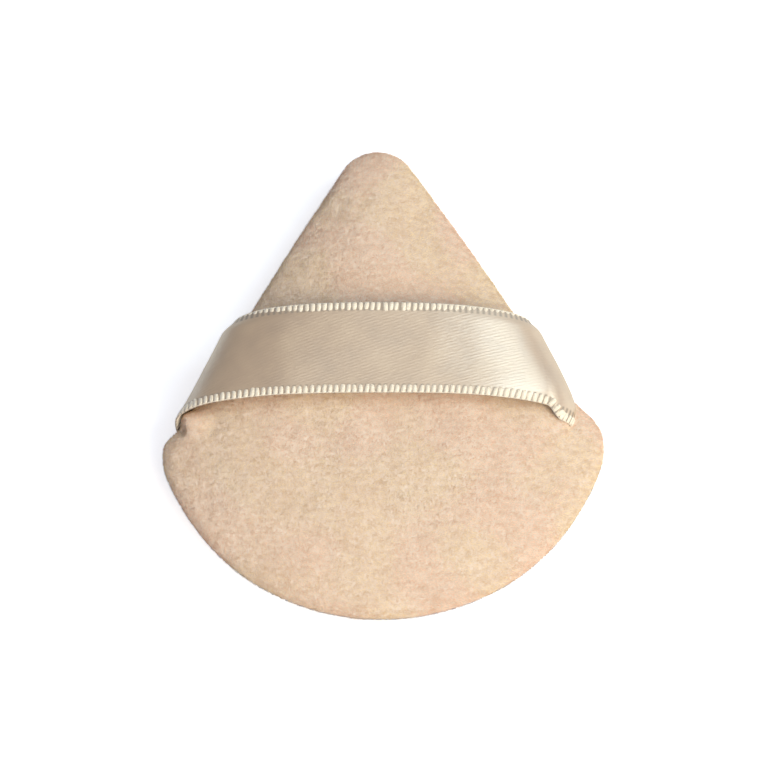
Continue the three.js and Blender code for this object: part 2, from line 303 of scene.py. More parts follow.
def discGrid(count):
    # a square grid rounded into a disc, which leaves no pole: radius and turn of each point
    line = np.linspace(-1, 1, count + 1)
    x, y = np.meshgrid(line, line)
    u = x * np.sqrt(1 - y ** 2 / 2)
    v = y * np.sqrt(1 - x ** 2 / 2)
    radius = np.clip(np.hypot(u, v), 0, 1)
    turn = ((np.arctan2(v, u) + math.pi / 2) / (2 * math.pi)) % 1
    quads, rim = gridFaces(count + 1, count + 1)
    return radius.ravel(), turn.ravel(), quads, rim


outlinePoints, outlineShare = seamOutline(puff["fabricInset"])


def cushionPoints(radius, turn, crown, side, inset=0.0):
    # the dome over the outline, evenly stepped along its profile from crown to seam, and less full
    # towards the tip
    angle = np.linspace(0, math.pi / 2, 2000)
    rise = np.sin(angle)
    shareOut, shareUp = np.zeros(len(radius)), np.zeros(len(radius))
    towardsTip = smoothStep(np.abs(np.asarray(turn) - 0.5), puff["tipShare"], 0)
    for fullness, part in ((puff["fullness"], 1 - towardsTip), (puff["tipFullness"], towardsTip)):
        reach = np.cos(angle) ** (2 / fullness)
        step = np.hypot(np.diff(puff["profileReach"] * reach), np.diff(crown * rise))
        along = np.concatenate([[0], np.cumsum(step)])
        along = 1 - along / along[-1]
        shareOut += part * np.interp(radius, along[::-1], reach[::-1])
        shareUp += part * np.interp(radius, along[::-1], rise[::-1])
    edge = np.column_stack([np.interp(turn, outlineShare, outlinePoints[:, k]) for k in (0, 1)])
    centre = np.array([0, crownY])
    shrink = 1 - inset / np.maximum(np.linalg.norm(edge - centre, axis=1), 1)
    flat = centre + (edge - centre) * (shareOut * shrink)[:, None]
    pull = drawnIn(edge[:, 1], edge[:, 0]) / math.cos(sideAngle) * shareOut ** puff["pullSteepness"]
    onSide = smoothStep(np.abs(edge[:, 0]), puff["tipRadius"], puff["tipRadius"] + puff["pullFromTip"])
    flat[:, 0] -= np.sign(edge[:, 0]) * pull * onSide
    half = ribbon["width"] / 2
    mouth = 1 - smoothStep(np.abs(edge[:, 1] - ribbonY), half, half + puff["mouthFade"])
    gap = puff["seamGap"] + (puff["mouthGap"] - puff["seamGap"]) * mouth * onSide
    up = puff["seamHeight"] + side * (gap * (1 - shareUp) + (crown - inset) * shareUp)
    if side < 0:
        floor, soft = puff["restPad"] + inset, puff["restRound"]
        up = np.where(up < floor + soft, floor + soft * np.exp((up - floor - soft) / soft), up)
    return np.column_stack([flat, up])


print("outline ready")


velourLook = {
    "dark": "#e2c9b0", "main": "#e9d2bb", "light": "#f0dcc8", "cool": "#f8f5f4", "warm": "#ffffff",
    "clumps": 1300, "patches": 120, "clumpHeight": 0.2 * mm, "bloom": "#eef4ff",
}


def mattCotton(shader):
    # cotton pile has next to no gloss, and a faint bloom where it is seen edge on
    setSockets(shader, {
        "Roughness": 0.95, "Specular IOR Level": 0.1, "Sheen Weight": 1, "Sheen Roughness": 0.35,
        "Sheen Tint": linearColour(velourLook["bloom"]),
    })


def cottonVelour():
    # Cotton velour: a knitted cloth with a cut loop pile, matt. Its pile lies in clumps 0.8 mm
    # across, which is 1300 to the metre, under patches 8 mm across.
    material, tree, shader = newMaterial("cottonVelour")
    place = addNode(tree, "TexCoord")
    clump = addNode(tree, "TexNoise", {"Scale": velourLook["clumps"], "Detail": 3, "Roughness": 0.6},
                    {"Vector": (place, "Object")})
    patch = addNode(tree, "TexNoise", {"Scale": velourLook["patches"], "Detail": 2},
                    {"Vector": (place, "Object")})
    fine = addNode(tree, "ValToRGB", {}, {"Fac": (clump, "Fac")})
    colourSteps(fine, [(0.32, velourLook["dark"]), (0.5, velourLook["main"]), (0.68, velourLook["light"])])
    broad = addNode(tree, "ValToRGB", {}, {"Fac": (patch, "Fac")})
    colourSteps(broad, [(0.35, velourLook["cool"]), (0.65, velourLook["warm"])])
    mixed = addNode(tree, "Mix", {"data_type": "RGBA", "blend_type": "MULTIPLY", 0: 1},
                    {6: (fine, "Color"), 7: (broad, "Color")})
    bump = addNode(tree, "Bump", {"Strength": 0.3, "Distance": velourLook["clumpHeight"]},
                   {"Height": (clump, "Fac")})
    feed(shader, {"Base Color": (mixed, 2), "Normal": (bump, "Normal")})
    mattCotton(shader)
    return material


def pileMaterial(name, hexText):
    # Cut cotton pile: one even tint for each batch of fibres.
    material, tree, shader = newMaterial(name)
    shader.inputs["Base Color"].default_value = linearColour(hexText)
    mattCotton(shader)
    return material


velour = cottonVelour()


# How the cover swells over its sponge: a cloth simulation on a coarse copy, ten times full size.
swelling = {
    "count": 64, "scale": 10, "startShare": 0.93, "voxel": 1.7, "frames": 20, "cap": 1.3, "evening": 14,
    "fade": (0.02, 0.16), "held": ((1.0, 0, 0.9), (0.5, 0.9, 1.8)),  # share held, from and to above the seam
    "cloth": {
        "quality": 6, "mass": 0.3, "tension_stiffness": 12, "compression_stiffness": 12,
        "shear_stiffness": 6, "bending_stiffness": 0.8, "use_pressure": True, "uniform_pressure_force": 4,
    },
}


def swollenMoves():
    # points of the coarse cushion before, its triangles, and how far each point moves
    radius, turn, quads, rim = discGrid(swelling["count"])
    front = cushionPoints(radius, turn, puff["frontCrown"] * swelling["startShare"], 1)
    back = cushionPoints(radius, turn, puff["backCrown"] * swelling["startShare"], -1)
    front[rim, 2] = back[rim, 2] = puff["seamHeight"]
    points = np.vstack([front, back])
    faces = np.vstack([quads, quads[:, ::-1] + len(front)])
    cover = newPiece("swellingCover", points * swelling["scale"], faces, velour)
    mergeDoubles(cover, 0.4 * mm)
    cover.data.remesh_voxel_size = swelling["voxel"] * swelling["scale"] * mm
    bpy.ops.object.voxel_remesh()
    before = meshPoints(cover.data) / swelling["scale"]
    held = cover.vertex_groups.new(name="held")
    height = np.abs(before[:, 2] - puff["seamHeight"])
    for share, low, high in swelling["held"]:
        inside = np.nonzero((height >= low) & (height < high))[0]
        held.add(inside.tolist(), share, "REPLACE")
    cloth = cover.modifiers.new("swelling", "CLOTH")
    for key, value in swelling["cloth"].items():
        setattr(cloth.settings, key, value)
    cloth.settings.vertex_group_mass = "held"
    cloth.settings.effector_weights.gravity = 0
    cloth.point_cache.frame_start = 1
    cloth.point_cache.frame_end = swelling["frames"]
    for frameNumber in range(1, swelling["frames"] + 1):
        bpy.context.scene.frame_set(frameNumber)
    evaluated = cover.evaluated_get(bpy.context.evaluated_depsgraph_get())
    after = meshPoints(evaluated.to_mesh()) / swelling["scale"]
    evaluated.to_mesh_clear()
    moves = after - before
    length = np.linalg.norm(moves, axis=1)
    print("swelling moves, mm: mean %.2f, most %.2f" % (length.mean(), length.max()))
    moves *= (np.minimum(length, swelling["cap"]) / np.maximum(length, 1e-9))[:, None]
    # the sponge holds the cover smooth, so its sharper creases are evened out
    ends = np.array([e.vertices[:] for e in cover.data.edges])
    around = np.bincount(ends.ravel(), minlength=len(moves))[:, None]
    for _ in range(swelling["evening"]):
        total = np.zeros_like(moves)
        np.add.at(total, ends[:, 0], moves[ends[:, 1]])
        np.add.at(total, ends[:, 1], moves[ends[:, 0]])
        moves = 0.5 * moves + 0.5 * total / around
    cover.data.calc_loop_triangles()
    triangles = np.array([t.vertices[:] for t in cover.data.loop_triangles])
    bpy.data.objects.remove(cover)
    bpy.context.scene.frame_set(1)
    return before, triangles, moves


def applyMoves(points, swollen):
    before, triangles, moves = swollen
    tree = BVHTree.FromPolygons(before.tolist(), triangles.tolist())
    out = np.array(points)
    for i, point in enumerate(points):
        spot, _, face, _ = tree.find_nearest(Vector(point))
        a, b, c = triangles[face]
        weights = barycentric(np.array(spot), before[a], before[b], before[c])
        out[i] += weights @ moves[[a, b, c]]
    return out


def barycentric(spot, a, b, c):
    ab, ac, ap = b - a, c - a, spot - a
    d00, d01, d11 = ab @ ab, ab @ ac, ac @ ac
    d20, d21 = ap @ ab, ap @ ac
    scale = d00 * d11 - d01 * d01
    v = (d11 * d20 - d01 * d21) / scale if abs(scale) > 1e-12 else 0
    w = (d00 * d21 - d01 * d20) / scale if abs(scale) > 1e-12 else 0
    return np.array([1 - v - w, v, w])


swollen = swollenMoves()


def napNormals(normals):
    # the brushed pile lies over and catches the light from above also where the cushion slopes away
    return unit(normals + puff["napLight"] * np.tanh(puff["napSteepness"] * normals[:, 2:]) * [0, 0, 1])


# Places where the sewn ribbon dents the velour or bunches it: x, y, height, radius, depth.
dents = [
    (-33.4, -9.6, 9.6, 1.0, 1.3), (-33.0, -9.0, 10.9, 1.0, 1.2), (-32.8, -7.9, 11.2, 1.8, -1.5),
    (-31.6, -7.5, 13.0, 2.3, -2.7), (-29.2, -9.2, 13.8, 1.1, 1.0), (-28.2, -7.6, 14.2, 1.0, 0.9),
    (31.7, -9.8, 11.8, 1.1, 1.1), (30.5, -9.0, 13.2, 2.0, -0.7), (27.0, -7.0, 13.4, 3.5, -0.8),
    (24.4, 10.6, 8.6, 2.0, 0.5), (-24.4, 10.6, 8.6, 2.0, 0.5),
]


def velourPanel(name, crown, side):
    radius, turn, quads, rim = discGrid(puff["fineCount"])
    outer = cushionPoints(radius, turn, crown, side)
    if swollen:
        hold = smoothStep(1 - radius, *swelling["fade"])[:, None]
        outer = outer + (applyMoves(outer, swollen) - outer) * hold
    outerFaces = quads if side > 0 else quads[:, ::-1]
    surface = newPiece(name + "Surface", outer, outerFaces, velour)
    normals = meshNormals(surface.data)
    rimHold = smoothStep(1 - radius, 0, puff["rollFade"])
    roll = uneven(outer, puff["roll"], 1) + uneven(outer, puff["smallRoll"], 2)
    grain = uneven(outer * puff["grainDrawnOut"], puff["grain"], 3) + uneven(outer, puff["smallGrain"], 4)
    depth = np.zeros(len(outer))
    for x, y, z, reach, deep in dents:
        away = np.linalg.norm(outer - [x, y, z], axis=1) / reach
        depth += deep * np.exp(-away ** 2)
    outer = outer + normals * ((roll + grain - depth) * rimHold)[:, None]
    if side < 0:
        outer[:, 2] = np.maximum(outer[:, 2], puff["restPad"])
    bpy.data.objects.remove(surface)

    # the allowance turned in at the seam, then the inner face of the cloth
    innerRadius, innerTurn, innerQuads, innerRim = discGrid(puff["coarseCount"])
    inner = cushionPoints(innerRadius, innerTurn, crown, side, inset=puff["wallThickness"])
    top = puff["allowanceThickness"] + puff["allowanceGap"]
    topHeight = puff["seamHeight"] + side * top
    inner[:, 2] = np.where(side * (inner[:, 2] - puff["seamHeight"]) < top, topHeight, inner[:, 2])
    step = puff["fineCount"] // puff["coarseCount"]
    edge = outer[rim][::step]
    centre = np.array([0, crownY])
    raw = []
    for level in (edge[:, 2], np.full(len(edge), topHeight)):
        away = edge[:, :2] - centre
        share = 1 - puff["allowance"] / np.linalg.norm(away, axis=1)
        raw.append(np.column_stack([centre + away * share[:, None], level]))
    points = np.vstack([outer, raw[0], raw[1], inner])
    rawStart = len(outer)
    topStart = rawStart + len(edge)
    innerStart = topStart + len(edge)
    faces = [tuple(f) for f in outerFaces]
    count = len(edge)
    turnRound = []
    for k in range(count):
        n = (k + 1) % count
        for j in range(step):
            a, b = rim[(k * step + j) % len(rim)], rim[(k * step + j + 1) % len(rim)]
            turnRound.append((b, a, rawStart + k))
        turnRound.append((rim[(k * step + step) % len(rim)], rawStart + k, rawStart + n))
        turnRound.append((rawStart + n, rawStart + k, topStart + k, topStart + n))
        turnRound.append((topStart + n, topStart + k, innerStart + innerRim[k], innerStart + innerRim[n]))
    inside = [tuple(f[::-1] + innerStart) for f in innerQuads]
    if side < 0:
        turnRound = [f[::-1] for f in turnRound]
        inside = [f[::-1] for f in inside]
    panel = newPiece(name, points, faces + turnRound + inside, velour)
    shaded = meshNormals(panel.data)
    shaded[:rawStart] = napNormals(shaded[:rawStart])
    panel.data.normals_split_custom_set_from_vertices(shaded.tolist())
    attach(panel, "puff")
    return panel, outer, outerFaces


frontPanel, frontOuter, frontFaces = velourPanel("frontVelour", puff["frontCrown"], 1)
backPanel, backOuter, backFaces = velourPanel("backVelour", puff["backCrown"], -1)
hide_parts("front_velour_panel")
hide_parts("back_velour_panel")
print("velour panels made")


def strapCentre(along, across):
    # the strap's middle surface: along runs from -1 at the left seam to 1 at the right, across
    # from -1 at the edge nearest the base to 1 at the edge nearest the tip
    side = np.where(along < 0, -1.0, 1.0)
    share = (across + 1) / 2
    form = {
        key: np.where(along < 0, ribbon["left"][key], ribbon["right"][key])
        for key in ("tipBulge", "baseBulge", "tipFullness", "baseFullness")
    }
    fullness = form["baseFullness"] + (form["tipFullness"] - form["baseFullness"]) * share
    bulge = form["baseBulge"] + (form["tipBulge"] - form["baseBulge"]) * share
    bulge -= ribbon["shoulder"] * smoothStep(share, ribbon["shoulderFrom"], 1)  # its corners are rounded off
    angle = np.clip(1 - np.abs(along), 0, 1) * math.pi / 2
    sewnY = ribbonY + across * ribbon["width"] / 2
    reach = np.where(along < 0, ribbonX(sewnY, -1), ribbonX(sewnY, 1))
    lift = np.sin(angle) ** (2 / fullness)
    x = reach * np.cos(angle) ** (2 / fullness) + bulge * np.sin(2 * angle)
    y = sewnY + ribbon["lean"] * lift + ribbon["skew"] * side * x * lift
    # the edge nearest the base bows in, and at the right its corner folds down over the velour
    y += ribbon["bow"] * (1 - share) * lift ** ribbon["bowSteepness"]
    folded = smoothStep(side * x, ribbon["tabFrom"], ribbon["tabTo"])
    y -= ribbon["tab"] * folded * (1 - share) ** ribbon["tabSteepness"]
    return np.stack([side * x, y, puff["seamHeight"] + ribbon["rise"] * lift], -1)


def ribbonPath(across):
    # one thread of the ribbon from the end of its left tail to the end of its right one
    along = np.linspace(-1, 1, 1601)
    free = strapCentre(along, np.full_like(along, across))
    free = free[free[:, 2] > puff["seamHeight"] + ribbon["foldRadius"]]
    sewnY = ribbonY + across * ribbon["width"] / 2
    bend = np.linspace(0, math.pi / 2, ribbon["foldSteps"], endpoint=False)
    ends = []
    for side in (-1, 1):
        innerX = ribbonX(sewnY, side) - ribbon["foldRadius"]
        tab = ribbon["tab"] * ((1 - across) / 2) ** ribbon["tabSteepness"] if side > 0 else 0
        endY = sewnY - tab
        fold = np.column_stack([
            innerX + ribbon["foldRadius"] * np.sin(bend),
            np.full(len(bend), endY),
            puff["seamHeight"] + ribbon["foldRadius"] * (1 - np.cos(bend)),
        ])
        tailX = np.linspace(innerX - ribbon["tailLength"], innerX, ribbon["tailSteps"], endpoint=False)
        level = np.full(len(tailX), puff["seamHeight"])
        tail = np.column_stack([tailX, np.full(len(tailX), endY), level])
        ends.append(np.vstack([tail, fold]) * [side, 1, 1])
    path = np.vstack([ends[0], free, ends[1][::-1]])
    length = np.concatenate([[0], np.cumsum(np.linalg.norm(np.diff(path, axis=0), axis=1))])
    return path, length


def ribbonGrid():
    # even steps along each thread, counted from the crown, so that the weave isn't sheared
    half = ribbon["width"] / 2
    inner, outer = ribbon["edgeSteps"]
    middle = np.linspace(-inner, inner, ribbon["widthSteps"] - 3)
    edgeSteps = np.concatenate([[-1, -outer], middle, [outer, 1]])
    grid, spans = [], []
    for across in edgeSteps:
        path, length = ribbonPath(across)
        target = np.linspace(0, length[-1], ribbon["lengthSteps"] + 1)
        grid.append(np.column_stack([np.interp(target, length, path[:, k]) for k in range(3)]))
        spans.append(target - length[-1] / 2)
    return np.array(grid), np.array(spans), edgeSteps * half


def ribbonNormals(grid):
    lengthways, widthways = np.gradient(grid, axis=1), np.gradient(grid, axis=0)
    return unit(np.cross(lengthways, widthways))


satin = {
    "cool": "#b89973", "main": "#c3a37b", "warm": "#ccad84", "gloss": "#fafffc",
    "roughness": 0.44, "anisotropy": 0.75, "specular": 1.0, "ior": 2.4,
    "ribTurn": -19, "ribScale": 0.58, "ribWander": 1.8,
    "dash": (0.8, 1.3, 1), "dashFrom": 0.34, "dashTo": 0.54,
    "float": (0.4, 6, 1), "floatHeight": 0.9, "cloudScale": 0.16, "weaveTone": 0.06,
    "relief": 0.13, "ribHeight": 0.12 * mm,
    # the slot colour is painted shade for the gaps between the selvedge yarn's turns
    "slotShade": "#8a7258", "slotRoughness": 0.95, "slotFrom": 6.3, "slotTo": 6.6,
}


def satinWeave():
    # Polyester satin: long floats of bright filament along the ribbon, so that its gloss is narrow
    # along them and wide across. Its slanting ribs show in the gloss only, and a wave texture
    # repeats every pi / 10 / scale: 0.54 mm here, because finer ones are lost in the render.
    material, tree, shader = newMaterial("polyesterSatin")
    weave = addNode(tree, "UVMap", {"uv_map": "weave"})
    turned = addNode(tree, "Mapping", {"Rotation": (0, 0, math.radians(satin["ribTurn"]))},
                     {"Vector": (weave, "UV")})
    ribs = addNode(tree, "TexWave", {
        "wave_type": "BANDS", "bands_direction": "Y", "Scale": satin["ribScale"],
        "Distortion": satin["ribWander"], "Detail": 2, "Detail Scale": 1.6,
    }, {"Vector": (turned, "Vector")})
    # the ribs are broken into dashes about a millimetre long
    drawnOut = addNode(tree, "Mapping", {"Scale": satin["dash"]}, {"Vector": (turned, "Vector")})
    breaks = addNode(tree, "TexNoise", {"Scale": 1, "Detail": 1}, {"Vector": (drawnOut, "Vector")})
    shown = addNode(tree, "MapRange", {"From Min": satin["dashFrom"], "From Max": satin["dashTo"]},
                    {"Value": (breaks, "Fac")})
    dashes = addNode(tree, "Math", {"operation": "MULTIPLY"}, {0: (ribs, "Fac"), 1: (shown, "Result")})
    stretched = addNode(tree, "Mapping", {"Scale": satin["float"]}, {"Vector": (weave, "UV")})
    floats = addNode(tree, "TexNoise", {"Scale": 1, "Detail": 3}, {"Vector": (stretched, "Vector")})
    cloudy = addNode(tree, "TexNoise", {"Scale": satin["cloudScale"], "Detail": 2},
                     {"Vector": (weave, "UV")})
    height = addNode(tree, "Math", {"operation": "MULTIPLY_ADD", 1: satin["floatHeight"]},
                     {0: (floats, "Fac"), 2: (dashes, "Value")})
    tone = addNode(tree, "Math", {"operation": "MULTIPLY_ADD", 1: satin["weaveTone"]},
                   {0: (height, "Value"), 2: (cloudy, "Fac")})
    tint = addNode(tree, "ValToRGB", {}, {"Fac": (tone, "Value")})
    colourSteps(tint, [(0.35, satin["cool"]), (0.55, satin["main"]), (0.75, satin["warm"])])
    # painted shade in the small slots between the turns of selvedge yarn, which are whole millimetres apart:
    # the satin is coloured darker there, and is rougher
    spot = addNode(tree, "SeparateXYZ", {}, {"Vector": (weave, "UV")})
    aside = addNode(tree, "Math", {"operation": "ABSOLUTE"}, {0: (spot, "Y")})
    band = addNode(tree, "MapRange", {
        "interpolation_type": "SMOOTHSTEP", "From Min": satin["slotFrom"], "From Max": satin["slotTo"],
    }, {"Value": (aside, "Value")})
    turns = addNode(tree, "TexWave", {"bands_direction": "X", "Scale": math.pi / 10},
                    {"Vector": (weave, "UV")})
    slots = addNode(tree, "Math", {"operation": "MULTIPLY"}, {0: (band, "Result"), 1: (turns, "Fac")})
    shaded = addNode(tree, "Mix", {"data_type": "RGBA", 7: linearColour(satin["slotShade"])},
                     {"Factor": (slots, "Value"), 6: (tint, "Color")})
    rough = addNode(tree, "MapRange", {"To Min": satin["roughness"], "To Max": satin["slotRoughness"]},
                    {"Value": (slots, "Value")})
    bump = addNode(tree, "Bump", {"Strength": satin["relief"], "Distance": satin["ribHeight"]},
                   {"Height": (height, "Value")})
    direction = addNode(tree, "Tangent", {"direction_type": "UV_MAP", "uv_map": "weave"})
    feed(shader, {
        "Base Color": (shaded, 2), "Roughness": (rough, "Result"),
        "Normal": (bump, "Normal"), "Tangent": (direction, "Tangent"),
    })
    setSockets(shader, {
        "Anisotropic": satin["anisotropy"], "Anisotropic Rotation": 0.25, "IOR": satin["ior"],
        "Specular IOR Level": satin["specular"], "Specular Tint": linearColour(satin["gloss"]),
    })
    return material


ribbonThreads, ribbonSpans, ribbonAcross = ribbonGrid()
ribbonSwell = uneven(ribbonThreads.reshape(-1, 3), ribbon["swell"], 6).reshape(ribbonThreads.shape[:2])
ribbonOut = ribbonNormals(ribbonThreads)
aboveSeam = ribbonThreads[..., 2] - puff["seamHeight"]
free = smoothStep(aboveSeam, ribbon["swellFrom"], ribbon["swellTo"])
ribbonThreads = ribbonThreads + ribbonOut * (ribbonSwell * free)[..., None]


def makeRibbon():
    rows, columns = ribbonThreads.shape[:2]
    half = ribbon["thickness"] / 2 * np.ones(rows)
    half[[0, -1]] = ribbon["edgeThickness"] / 2
    top = ribbonThreads + ribbonOut * half[:, None, None]
    under = ribbonThreads - ribbonOut * half[:, None, None]
    points = np.vstack([top.reshape(-1, 3), under.reshape(-1, 3)])
    quads, rim = gridFaces(rows, columns)
    below = quads[:, ::-1] + rows * columns
    around = np.roll(rim, -1)
    walls = np.column_stack([around, rim, rim + rows * columns, around + rows * columns])
    piece = newPiece("satinRibbon", points, np.vstack([quads, below, walls]), satinWeave())
    weave = piece.data.uv_layers.new(name="weave")
    spot = np.column_stack([ribbonSpans.ravel(), np.repeat(ribbonAcross, columns)])
    spot = np.vstack([spot, spot])
    corners = np.empty(len(piece.data.loops), int)
    piece.data.loops.foreach_get("vertex_index", corners)
    weave.data.foreach_set("uv", spot[corners].ravel())
    return piece


selvedge = {
    "pitch": 1.0, "width": 0.9, "length": 1.55, "thickness": 0.52, "lean": 0.05, "endMargin": 0.9,
    "squareness": 0.55, "outerWidth": 1.08, "taper": 0.24, "dive": 0.3,
    "cordWidth": 0.16, "cordHeight": 0.18, "cordSides": 6, "nearby": 0.2,
    "strayPlace": 0.04, "strayLean": 0.05, "straySize": 0.04,
    "plies": 5200, "dark": "#ead9bc", "light": "#fbf3e0",  # plies to the metre
}


def selvedgeYarn():
    # Spun cream yarn, thicker than the ribbon's own, with plies 0.2 mm apart.
    material, shader = oneTextureLook(
        "creamSelvedgeYarn", "TexNoise", {"Scale": selvedge["plies"], "Detail": 2}, "Fac",
        [(0.3, selvedge["dark"]), (0.7, selvedge["light"])], (0.3, 0.1 * mm),
    )
    setSockets(shader, {"Roughness": 0.5, "Sheen Weight": 0.2})
    return material


def makeLoop():
    # one turn of binding yarn over the edge: x along the ribbon, y in from its edge, z out of it
    bpy.ops.object.select_all(action="DESELECT")
    bpy.ops.mesh.primitive_uv_sphere_add(segments=8, ring_count=6, radius=1, rotation=(math.pi / 2, 0, 0))
    bpy.ops.object.transform_apply(location=False, rotation=True, scale=False)
    points, faces = takeMesh(bpy.context.object)
    points = np.sign(points) * np.abs(points) ** selvedge["squareness"] / 2
    points *= [selvedge["width"], selvedge["length"], selvedge["thickness"]]
    inward = points[:, 1] / selvedge["length"] + 0.5
    points[:, 0] *= selvedge["outerWidth"] - selvedge["taper"] * inward  # slimmer where it dives in
    points[:, 2] -= selvedge["dive"] * np.clip(inward - 0.5, 0, 1) ** 2
    points[:, 1] += selvedge["length"] / 2
    return points, faces


def makeSelvedges():
    loopPoints, loopFaces = makeLoop()
    points, faces = [], []
    for row, sign in ((0, -1), (len(ribbonThreads) - 1, 1)):
        thread, out, span = ribbonThreads[row], ribbonOut[row], ribbonSpans[row]
        inner = ribbonThreads[row - sign * 4]
        margin = ribbon["tailLength"] + selvedge["endMargin"]
        places = np.arange(math.ceil(span[0] + margin), span[-1] - margin, selvedge["pitch"])
        places += draw.normal(0, selvedge["strayPlace"], len(places))

        def along(grid, at):
            return np.column_stack([np.interp(at, span, grid[:, i]) for i in range(3)])

        here = along(thread, places)
        run = unit(along(thread, places + selvedge["nearby"]) - along(thread, places - selvedge["nearby"]))
        up = along(out, places)
        up = unit(up - run * (up * run).sum(1, keepdims=True))
        inward = np.cross(up, run)
        inward *= np.sign((inward * (along(inner, places) - here)).sum(1, keepdims=True))
        flip = (np.cross(run, inward) * up).sum(1) < 0
        for k in range(len(places)):
            lean = selvedge["lean"] + draw.normal(0, selvedge["strayLean"])
            size = 1 + draw.normal(0, selvedge["straySize"], 3)
            local = loopPoints * size
            local[:, 0] += sign * -lean * local[:, 1]
            start = len(points)
            points.extend(here[k] + local[:, :1] * run[k] + local[:, 1:2] * inward[k] + local[:, 2:] * up[k])
            for face in loopFaces:
                turned = [start + i for i in face]
                faces.append(turned[::-1] if flip[k] else turned)
        # the yarn's edge, which joins the turns: a flattened cord
        sides = selvedge["cordSides"]
        around = np.linspace(0, 2 * math.pi, sides, endpoint=False)
        acrossRibbon = unit(ribbonThreads[row - sign * 3] - thread)
        start, count = len(points), len(thread)
        middle = thread + acrossRibbon * selvedge["cordWidth"]
        for k in range(count):
            points.extend(
                middle[k] + acrossRibbon[k] * selvedge["cordWidth"] * math.cos(a)
                + out[k] * selvedge["cordHeight"] * math.sin(a) for a in around
            )
            if k:
                ring, last = start + sides * k, start + sides * (k - 1)
                for j in range(sides):
                    n = (j + 1) % sides
                    face = (last + j, last + n, ring + n, ring + j)
                    faces.append(face if sign < 0 else face[::-1])
        for ring, turned in ((start, sign < 0), (start + sides * (count - 1), sign > 0)):
            cap = [ring + j for j in range(sides)]
            faces.append(cap[::-1] if turned else cap)
    return newPiece("ribbonSelvedges", points, faces, selvedgeYarn())


satinRibbon = makeRibbon()
ribbonSelvedges = makeSelvedges()
for strip in (satinRibbon, ribbonSelvedges):
    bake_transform(strip)
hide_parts("ribbon_strap", "ribbon_tail_left", "ribbon_tail_right")


# Short pile standing out of the velour, in straw and rose tints, each from pale to deep. The zone
# beside the ribbon is beyond this x, within this y of its middle and above this z.
pile = {
    "count": 282000, "length": 0.4, "halfWidth": 0.07, "rootDepth": 0.08, "soften": 0.92,
    "lengthRange": (0.75, 1.25), "widthRange": (0.8, 1.2), "leanRange": (0.7, 1.3),
    "stray": 0.3, "lowest": 0.35, "lifted": 0.45, "wander": (0.9, 9), "smallWander": (0.5, 1.1),
    "patch": 11, "patchBlur": 0.14, "clump": 1, "clumpDrawnOut": (0.5, 1.4, 1), "clumpBlur": 0.22,
    "ribbonZone": (18, 11, 5.5), "ribbonReach": 0.25, "clearance": 0.1, "shortened": 0.8, "shortest": 0.05,
    "floorGap": 0.02,
}
pileTints = {
    "pileStrawPale": "#f9dfb8", "pileStraw": "#efd2a9", "pileStrawDeep": "#e2c29b",
    "pileRosePale": "#fbd8bc", "pileRose": "#f1c9ac", "pileRoseDeep": "#e5bb9c",
}


def makeFibre():
    # one tapering fibre, a unit long and a unit wide, standing on its root
    bpy.ops.object.select_all(action="DESELECT")
    bpy.ops.mesh.primitive_cone_add(vertices=3, radius1=1, radius2=0, depth=1, location=(0, 0, 0.5))
    bpy.ops.object.transform_apply(location=True, rotation=False, scale=False)
    return takeMesh(bpy.context.object)


def surfaceSpots(count, surfaces):
    # even random spots over the outer faces, with the smooth normal at each
    corners, normals = [], []
    for points, quads in surfaces:
        holder = newPiece("pileGround", points, quads, velour)
        ground = meshNormals(holder.data)
        bpy.data.objects.remove(holder)
        for pick in ((0, 1, 2), (0, 2, 3)):
            corners.append(points[quads[:, pick]])
            normals.append(ground[quads[:, pick]])
    corners, normals = np.vstack(corners), np.vstack(normals)
    area = np.linalg.norm(np.cross(corners[:, 1] - corners[:, 0], corners[:, 2] - corners[:, 0]), axis=1)
    chosen = draw.choice(len(area), count, p=area / area.sum())
    a, b = draw.random(count), draw.random(count)
    flip = a + b > 1
    a[flip], b[flip] = 1 - a[flip], 1 - b[flip]
    weights = np.column_stack([1 - a - b, a, b])[..., None]
    return (corners[chosen] * weights).sum(1), unit((normals[chosen] * weights).sum(1))


def sharedOut(values, parts):
    # which of so many equal parts each value falls in, from low to high
    return np.argsort(np.argsort(values)) * parts // len(values)


def drawBetween(limits, count):
    low, high = limits
    return low + (high - low) * draw.random(count)


